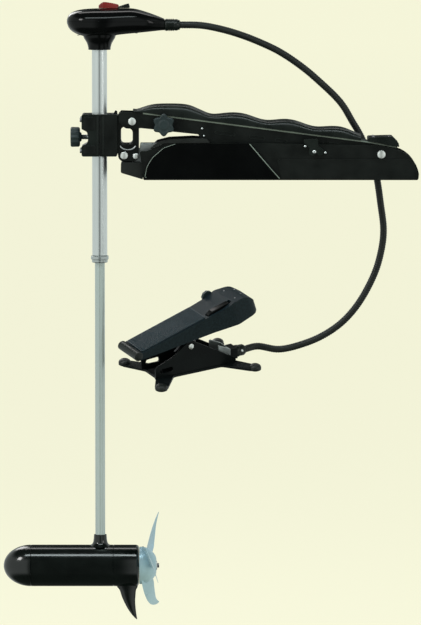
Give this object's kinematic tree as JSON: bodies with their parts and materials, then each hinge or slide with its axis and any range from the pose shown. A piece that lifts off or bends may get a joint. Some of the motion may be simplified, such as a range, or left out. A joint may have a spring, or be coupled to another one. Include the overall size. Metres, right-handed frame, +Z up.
{
  "type": "trolling motor",
  "caption": "Bow-mount electric trolling motor: folding deck mount, clamped column with a steering head, underwater motor with a propeller, and a foot pedal that steers through a cable.",
  "frame": {"origin": "centre of the base channel's flat underside, where it rests on the deck", "axes": "+Z up along the column, +X from the column towards the rear pivots of the arms, +Y towards the side the control cable runs on"},
  "size_m": [0.9064, 0.2745, 1.3537],
  "materials": {
    "satin_black_casting": "satin",
    "gloss_black_plastic": "gloss",
    "gloss_black_metal": "gloss",
    "satin_black_plastic": "satin",
    "black_rubber": "matte",
    "polished_stainless": "polished",
    "grey_composite_shaft": "satin",
    "bare_aluminium": "satin",
    "silver_grey_plastic": "satin",
    "blue_grey_plastic": "matte",
    "red_plastic": "gloss",
    "dark_steel": "satin",
    "ferrite": "matte",
    "copper_winding": "satin",
    "white_nylon": "satin",
    "tread_rubber": "matte"
  },
  "bodies": {
    "base": {"base_housing": "satin_black_casting", "side_panel_near": "gloss_black_plastic", "side_panel_far": "gloss_black_plastic", "motor_rest_near": "gloss_black_plastic", "motor_rest_far": "gloss_black_plastic", "front_bumper": "black_rubber", "rear_pivot_near": "polished_stainless", "rear_pivot_far": "polished_stainless", "link_rear_pin": "polished_stainless", "cable_clip": "satin_black_plastic", "pedal_base": "satin_black_casting", "pedal_pivot_pin": "polished_stainless", "pedal_cable_gland": "satin_black_plastic", "cable_anchor": "satin_black_plastic", "cable_lower": "black_rubber", "cable_rear": "black_rubber"},
    "arm": {"upper_arm": "satin_black_casting", "arm_cover": "satin_black_plastic", "arm_rear_cap": "satin_black_plastic", "arm_front_pin": "polished_stainless", "cable_middle": "black_rubber"},
    "knob": {"tension_knob": "blue_grey_plastic"},
    "link": {"lower_link": "bare_aluminium"},
    "bracket": {"hinge_casting": "satin_black_casting", "clamp_body": "satin_black_casting", "clamp_door": "satin_black_casting", "link_front_pin_near": "polished_stainless", "link_front_pin_far": "polished_stainless", "casting_bolt": "polished_stainless"},
    "depth_knob": {"depth_knob": "blue_grey_plastic"},
    "column": {"outer_tube": "polished_stainless", "tube_collar": "satin_black_plastic", "upper_bushing": "white_nylon", "head_top_shell": "gloss_black_plastic", "head_lower_shell": "gloss_black_plastic", "head_cable_gland": "satin_black_plastic", "cable_front": "black_rubber"},
    "rack": {"steering_rack": "dark_steel"},
    "pointer": {"pointer_gear": "white_nylon", "direction_pointer": "red_plastic"},
    "steered": {"inner_shaft": "grey_composite_shaft", "steering_pinion": "dark_steel", "motor_housing": "gloss_black_metal", "nose_cone": "gloss_black_metal", "tail_housing": "gloss_black_metal", "shaft_seal": "black_rubber", "bearing_plate": "bare_aluminium", "brush_card": "satin_black_plastic", "magnet_upper": "ferrite", "magnet_lower": "ferrite"},
    "spinning": {"propeller": "silver_grey_plastic", "motor_shaft": "dark_steel", "armature": "copper_winding", "propeller_nut": "polished_stainless"},
    "latch": {"latch_lever": "satin_black_plastic"},
    "tread": {"pedal_tread": "satin_black_plastic", "tread_mat": "tread_rubber", "cable_sector": "dark_steel"},
    "speed_wheel": {"speed_wheel": "blue_grey_plastic"},
    "button": {"momentary_button": "gloss_black_plastic"}
  },
  "joints": [
    {"name": "mount_fold", "type": "hinge", "parent": "base", "child": "arm", "pos_m": [0.2217, 0, 0.0558], "axis": [0, 1, 0], "range_deg": [0, 145], "deforming": ["cable_rear", "cable_middle"]},
    {"name": "link_swing", "type": "hinge", "parent": "base", "child": "link", "pos_m": [0.195, 0, 0.036], "axis": [0, 1, 0], "range_deg": [0, 148.4]},
    {"name": "bracket_tilt", "type": "hinge", "parent": "arm", "child": "bracket", "pos_m": [-0.3196, 0, 0.1264], "axis": [0, 1, 0], "range_deg": [-55.1, 0], "deforming": ["cable_middle", "cable_front"]},
    {"name": "tension_knob_turn", "type": "hinge", "parent": "arm", "child": "knob", "pos_m": [-0.2507, -0.05, 0.1199], "axis": [0, 1, 0], "range_deg": [-360, 360]},
    {"name": "depth_knob_turn", "type": "hinge", "parent": "bracket", "child": "depth_knob", "pos_m": [-0.44, 0, 0.091], "axis": [1, 0, 0], "range_deg": [-360, 360]},
    {"name": "depth_slide", "type": "slide", "parent": "bracket", "child": "column", "axis": [0, 0, 1], "range_m": [-0.135, 0.21], "deforming": ["cable_front"]},
    {"name": "steer", "type": "hinge", "parent": "column", "child": "steered", "pos_m": [-0.391, 0, 0.3], "axis": [0, 0, 1], "range_deg": [-150, 150]},
    {"name": "rack_slide", "type": "slide", "parent": "column", "child": "rack", "axis": [1, 0, 0], "range_m": [-0.0237, 0.0237]},
    {"name": "pointer_turn", "type": "hinge", "parent": "column", "child": "pointer", "pos_m": [-0.361, 0, 0.36], "axis": [0, 0, 1], "range_deg": [-150.1, 150.1]},
    {"name": "propeller_spin", "type": "hinge", "parent": "steered", "child": "spinning", "pos_m": [-0.3067, 0, -0.8502], "axis": [1, 0, 0], "continuous": true},
    {"name": "latch_turn", "type": "hinge", "parent": "base", "child": "latch", "pos_m": [0.076, -0.054, 0.062], "axis": [0, 1, 0], "range_deg": [-15, 0], "stiffness_Nm_per_rad": 0.15, "springref_deg": 20.05},
    {"name": "pedal_tilt", "type": "hinge", "parent": "base", "child": "tread", "pos_m": [-0.20853, -0.02625, -0.3536], "axis": [-0.4924, 0.8323, 0.2545], "range_deg": [-18.1, 18.1]},
    {"name": "speed_wheel_turn", "type": "hinge", "parent": "tread", "child": "speed_wheel", "pos_m": [-0.15502, 0.03142, -0.26186], "axis": [-0.4924, 0.8323, 0.2545], "range_deg": [-150, 150]},
    {"name": "button_press", "type": "slide", "parent": "tread", "child": "button", "axis": [0.2574, 0.4185, -0.871], "range_m": [0, 0.003], "stiffness_N_per_m": 600, "springref_m": -0.002}
  ],
  "couplings": [
    {"joint": "link_swing", "follows": "mount_fold", "ratio": 1.0225},
    {"joint": "bracket_tilt", "follows": "mount_fold", "ratio": -0.379},
    {"joint": "rack_slide", "follows": "steer", "m_per_rad": -0.009},
    {"joint": "pointer_turn", "follows": "steer", "ratio": 1},
    {"joint": "pedal_tilt", "follows": "steer", "ratio": -0.12}
  ]
}
